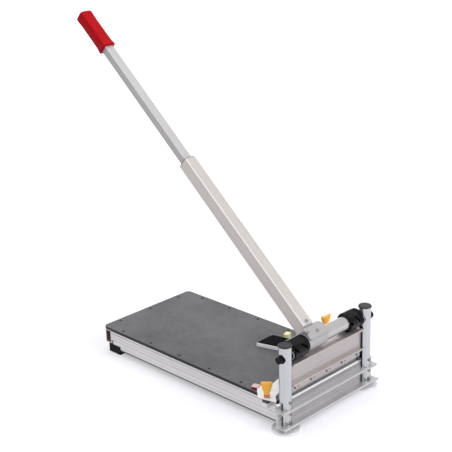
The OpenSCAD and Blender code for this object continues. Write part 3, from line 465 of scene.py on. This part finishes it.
# %% Grip
def grip_rings(start=0.832, length=0.107, width=0.0312, depth=0.0282, power=4.4, n=260, m=96):
    """Superellipse rings along the handle; the swelling is read off a table and smoothed.

    Each end follows a quarter circle, half-width = full - r * (1 - sqrt(1 - s * s)), with its
    own radius r. Grooves one pitch apart take groove * cos(pi * z / pitch)^16 off the lower
    half.
    """
    foot_radius, head_radius, pitch, groove = 0.0012, 0.004, 0.006, 0.0005
    t = np.linspace(0, 1, n)
    z = t * length
    swell_mm = np.interp(t, [0, 0.02, 0.05, 0.09, 0.3, 0.5, 0.72, 0.84, 0.93, 1],
                         [2.3, 2.5, 2.3, 1.3, 0.9, 0.9, 0.8, 1.1, 1.7, 1.4])
    grooved = np.interp(t, [0.1, 0.14, 0.46, 0.56], [0, 1, 1, 0])
    swell = smoothed(swell_mm / 1000, 6) - groove * grooved * np.cos(np.pi * z / pitch) ** 16
    head = 0.995 * np.clip((z - (length - head_radius)) / head_radius, 0, 1)
    foot = np.clip((foot_radius - z) / foot_radius, 0, 1)
    pull = (head_radius * (1 - np.sqrt(1 - head ** 2))
            + foot_radius * (1 - np.sqrt(1 - foot ** 2)))
    x, y = oval(width / 2 + swell - pull, depth / 2 + swell - pull, np.full(n, power), m)
    return on_lever(handle_x + x, handle_y + y, np.repeat((start + z)[:, None], m, 1))


shell("grip_skin", grip_rings(), grip_red, "extension", "grip")

# %% [markdown]
# ## The eccentric drums
# Each drum turns with the lever and has a dark hood on top: two flats, and a lower edge that
# zigzags, with deep slots below its falling parts. Cutting that from a cylinder takes many
# tools. As one radius that depends on the angle and on the place it is a single formula.

# %% Drums
throw, lead = 0.0121, math.radians(33.7)
drum_y, drum_z = throw * math.sin(lead), throw * math.cos(lead)
journal_end, journal_radius, journal_rim = 0.154, 0.008, 0.0008


def drum_rings(outer, inner, zigzag, radius=0.022, step=0.0005, slot=0.006):
    """Rings along X, left to right: a journal about the axle, and the drum about its own centre.

    With p the angle above the front, the hood's flats are radius * cos(h) / cos(p - m) for a
    middle m and half-angle h. The zigzag lists places from the drum's left end and angles.
    Below it the radius is less by step, as far down as the bottom, and where it falls to the
    right less by slot over the first slot_angle degrees. Past the collar each radius is the
    smaller of this and the turned profile, so the drum only loses material.
    """
    collar, spigot, chamfer = 0.0086, 0.01315, 0.003
    blur, look_right, slot_angle, bottom = 1.5, 0.0015, 15, -38
    side, length = math.copysign(1, outer), abs(inner - outer)
    fine = np.linspace(0.0102, length - chamfer, 84)
    profile = [(0, 0.0204), (0.0008, 0.0212), (0.0054, 0.0212), (0.007, 0.0188),
               (collar, 0.0188), *((u, radius) for u in fine), (length, radius - chamfer),
               (length, spigot), (length + 0.011, spigot)]
    u, turned = np.array(profile).T[:, :, None]
    p = np.concatenate([np.linspace(-42, 112, 124), np.linspace(115, 315, 60)])[::-1]

    r = np.full((len(u), len(p)), radius)
    for middle, half in ((72.5, 27.5), (31, 14)):
        away = np.abs(p - middle)
        flat = radius * math.cos(math.radians(half)) / np.cos(np.radians(np.minimum(away, half)))
        r = np.where(away < half, flat, r)
    place = outer - side * u
    from_left = place - min(outer, inner)
    spots, angles = np.array(zigzag).T
    edge = np.interp(from_left, spots, angles)
    falls = np.clip((edge - np.interp(from_left + look_right, spots, angles)) / blur, 0, 1)
    under = np.clip((edge - p) / blur, 0, 1)
    steps = step * under * np.clip((p - bottom) / 6, 0, 1)
    slots = slot * under * falls * np.clip((slot_angle - (edge - p)) / 3, 0, 1)
    r = np.minimum(r, radius - np.maximum(steps, slots))
    r = np.where(u > collar, np.minimum(r, turned), turned)

    angle = math.pi + lean - np.radians(p)
    ends = side * np.array([[journal_end], [journal_end - journal_rim], [side * outer]])
    journal = np.array([[journal_radius - journal_rim], [journal_radius], [journal_radius]])
    x = np.repeat(np.concatenate([ends, place]), len(p), 1)
    y = np.concatenate([journal * np.cos(angle), drum_y + r * np.cos(angle)])
    z = np.concatenate([journal * np.sin(angle), drum_z + r * np.sin(angle)])
    return on_lever(x, y, z)[::int(-side)]


for side, outer, inner, zigzag in (
        ("left", -0.1167, -0.062,
         ((0.0086, 33), (0.0193, 6), (0.031, 45), (0.047, 6), (0.0547, 24))),
        ("right", 0.1167, 0.074,
         ((0, 24), (0.008, 6), (0.019, 45), (0.031, 6), (0.0341, 16)))):
    shell(side + "_drum_skin", drum_rings(outer, inner, zigzag), hub_black, "lever",
          side + "_cam", sharp=24)

# %% [markdown]
# ## The return springs
# Each post hides a spring that lifts the carriage. The wire is a tube swept along a helix.
# Its section stays square to the wire, so the ring's two directions are the way out from
# the axis and the cross product of that with the wire's own direction.

# %% Return springs
wire_radius = 0.0009


def spring_rings(middle, low, high, turns=7, coil=0.0074, each=40, around=14):
    """Circles of wire along centre(a) = (coil * cos(a), coil * sin(a), rising evenly).

    They cover turns * 360 degrees with each rings to a turn. A ring is
    centre + wire_radius * (cos(b) * out - sin(b) * side).
    """
    n = turns * each + 1
    a = np.linspace(0, 2 * np.pi * turns, n)
    rise = (high - low) / (2 * np.pi * turns)
    out = np.stack([np.cos(a), np.sin(a), 0 * a], -1)
    along = np.stack([-coil * np.sin(a), coil * np.cos(a), np.full(n, rise)], -1)
    along /= np.linalg.norm(along, axis=1, keepdims=True)
    side = np.cross(out, along)
    centre = coil * out + np.stack([np.full(n, middle[0]), np.full(n, middle[1]),
                                    np.linspace(low, high, n)], -1)
    b = np.linspace(0, 2 * np.pi, around, endpoint=False)[None, :, None]
    return centre[:, None] + wire_radius * (np.cos(b) * out[:, None] - np.sin(b) * side[:, None])


for side in ("left", "right"):
    node = side + "_return_spring"
    low, high = np.array(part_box(node))
    low[2], high[2] = low[2] + wire_radius, high[2] - wire_radius
    middle = (low + high) / 2
    spring = shell(side + "_spring_wire", spring_rings(middle, low[2], high[2]), screw_metal,
                   None, node)
    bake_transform(spring)

# %% [markdown]
# ## The wing knobs
# Two orange knobs clamp the fence. Each opens from a round foot into two thumb wings with a
# dip between them. A boolean of a cone and a plate would leave hard seams, so the section
# itself changes with height: a circle at the foot and a long flat oval at the top.

# %% Wing knobs
def knob_rings(place, high, turned, dip, wing, waist, n=60, lid=16, m=72):
    """Ovals whose long half-width grows from waist to wing while the short one shrinks.

    The middle of the top sinks by dip * high * (1 - (x / a)^2)^2, so the wings stand up at both
    sides; the lid goes on with the same formula while its ring shrinks to nothing.
    """
    t = np.concatenate([np.linspace(0, 1, n), np.ones(lid)])
    q = np.concatenate([np.ones(n), np.linspace(1, 0.02, lid + 1)[1:]])
    a = np.interp(t, [0, 0.05, 0.14, 0.45, 0.75, 0.88, 0.94, 0.98, 1],
                  [0.8 * waist, 0.95 * waist, waist, (waist + wing) / 2, wing - 0.0008, wing,
                   wing - 0.0002, wing - 0.0010, wing - 0.0024])
    b = np.interp(t, [0, 0.05, 0.14, 0.45, 0.7, 0.95, 1],
                  [0.0046, 0.0052, 0.0050, 0.0048, 0.0043, 0.0038, 0.0026])
    a[:n], b[:n] = smoothed(a[:n], 2), smoothed(b[:n], 2)
    x, y = oval(a * q, b * q, np.interp(t, [0, 0.3, 1], [2, 2, 2.6]), m)
    sink = np.interp(t, [0, 0.55, 1], [0, 0, 1])[:, None] * dip * high
    z = (t * high)[:, None] - sink * (1 - np.clip(x / a[:, None], -1, 1) ** 2) ** 2
    c, s = math.cos(turned), math.sin(turned)
    return np.stack([place[0] + c * x - s * y, place[1] + s * x + c * y, place[2] + z], -1)


for side, degrees, dip, wing, waist in (("left", -48.7, 0.04, 0.0128, 0.0062),
                                        ("right", -8.05, 0.12, 0.0148, 0.0088)):
    node = side + "_wing_knob"
    low, high = np.array(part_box(node))
    place = (*((low + high) / 2)[:2], low[2])
    rings = knob_rings(place, high[2] - low[2], math.radians(degrees), dip, wing, waist)
    shell(side + "_knob_skin", rings, knob_orange, side + "_knob", node)

# %% [markdown]
# ## The lock screw's head
# A black star knob at the side of the lower tube. Ten shallow grooves run along it for the
# fingers. In numpy they are one cosine on the radius, where cutting ten grooves from a
# cylinder would leave sharp rims.

# %% Star knob
lock_x, lock_z = -0.0252, 0.479


def star_rings(lobes=10, radius=0.008, groove=0.09, n=40, m=120):
    """Circles round an axis along X: r = R * (1 - groove * ((1 + cos(lobes * angle)) / 2)^2).

    R follows a table with a rounded outer rim. The shank behind the head goes into the tube.
    """
    along = np.array([-0.0030, -0.0001, 0, 0.0004, 0.0012, 0.0052, 0.0062, 0.0068, 0.0070])
    share = np.array([0.38, 0.38, 0.86, 0.96, 1, 1, 0.97, 0.88, 0.70])
    t = np.sort(np.concatenate([np.linspace(along[0], along[-1], n), along]))
    size = np.interp(t, along, share)[:, None]
    angle = np.linspace(0, 2 * np.pi, m, endpoint=False)
    grooved = np.clip((size - 0.6) / 0.3, 0, 1)
    r = radius * size * (1 - groove * grooved * ((1 + np.cos(lobes * angle)) / 2) ** 2)
    x = np.repeat((lock_x + t)[:, None], m, 1)
    return on_lever(x, handle_y + r * np.cos(angle), lock_z + r * np.sin(angle))


shell("lock_screw_head", star_rings(), slide_black, "lock", "lock_screw")

# %% [markdown]
# ## Light and floor
# The photograph is a plain studio shot on white. A big soft lamp in front lights the faces
# towards the camera, weaker ones fill from the left and from above, and the world gives the
# rest. The floor is pale and glows a little, more so away from the cutter, but only for rays
# from the camera and for mirror rays. So it reads as white paper and still takes the shadow.

# %% Lamps, world and floor
cutter_middle = Vector((0.13, 0.25, 0.2))
world_light, world_seen = 0.68, 1.0
floor_grey, floor_half = (0.61, 0.6, 0.65, 1), 9
glow_near, glow_gain, glow_start, glow_reach = 0.4, 0.5, 0.7, 1.2
white = (1, 1, 1, 1)


def soft_lamp(name, spot, size, power):
    """A square lamp at a place, aimed at the middle of the cutter."""
    data = bpy.data.lights.new(name, "AREA")
    data.shape, data.size, data.energy = "SQUARE", size, power
    lamp = bpy.data.objects.new(name, data)
    scene.collection.objects.link(lamp)
    lamp.location = spot
    lamp.rotation_euler = (cutter_middle - Vector(spot)).to_track_quat("-Z", "Y").to_euler()


soft_lamp("front_lamp", (0.9, -2.6, 2.2), 1.8, 44)
soft_lamp("left_lamp", (-2.8, -0.2, 1.6), 1.8, 6)
soft_lamp("top_lamp", (0.2, 0.8, 3.2), 2.2, 34)

world = bpy.data.worlds.new("studio")
scene.world = world
world.use_nodes = True
wires = world.node_tree
shown = wires.nodes.new("ShaderNodeLightPath")
seen = wires.nodes.new("ShaderNodeMath")
seen.operation = "MAXIMUM"
wires.links.new(shown.outputs["Is Camera Ray"], seen.inputs[0])
wires.links.new(shown.outputs["Is Glossy Ray"], seen.inputs[1])
strength = wires.nodes.new("ShaderNodeMapRange")
strength.inputs["To Min"].default_value = world_light
strength.inputs["To Max"].default_value = world_seen
wires.links.new(seen.outputs[0], strength.inputs["Value"])
sky = wires.nodes["Background"]
sky.inputs["Color"].default_value = white
wires.links.new(strength.outputs[0], sky.inputs["Strength"])

paper = Finish("paper_floor", Roughness=0.9, Specular_IOR_Level=0.1, Base_Color=floor_grey)
path = paper.node("ShaderNodeLightPath")
seen_by = Num(paper, path.outputs["Is Camera Ray"]) + Num(paper, path.outputs["Is Glossy Ray"])
across = paper.node("ShaderNodeVectorMath", {"operation": "LENGTH"}, {0: paper.coords})
far = ((Num(paper, across.outputs["Value"]) - glow_start) / glow_reach).clamped()
glow = paper.node("ShaderNodeEmission", {}, {
    "Color": white, "Strength": seen_by.clamped() * (glow_near + far * glow_gain)})
both = paper.node("ShaderNodeAddShader", {}, {0: paper.shader.outputs[0], 1: glow.outputs[0]})
paper.tree.links.new(both.outputs[0], paper.tree.nodes["Material Output"].inputs["Surface"])
floor_mesh = bpy.data.meshes.new("floor")
corners = [(x * floor_half, y * floor_half, 0) for x, y in ((-1, -1), (1, -1), (1, 1), (-1, 1))]
floor_mesh.from_pydata(corners, [], [(0, 1, 2, 3)])
floor_mesh.materials.append(paper.material)
floor = bpy.data.objects.new("floor", floor_mesh)
scene.collection.objects.link(floor)
floor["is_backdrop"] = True
print("floor and lamps placed")

# %% [markdown]
# ## Sizes
# The box round everything that is shown, the floor left out, is worked out. A new piece may
# reach past its CAD solid by a little only.

# %% Sizes and finish
low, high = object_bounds()
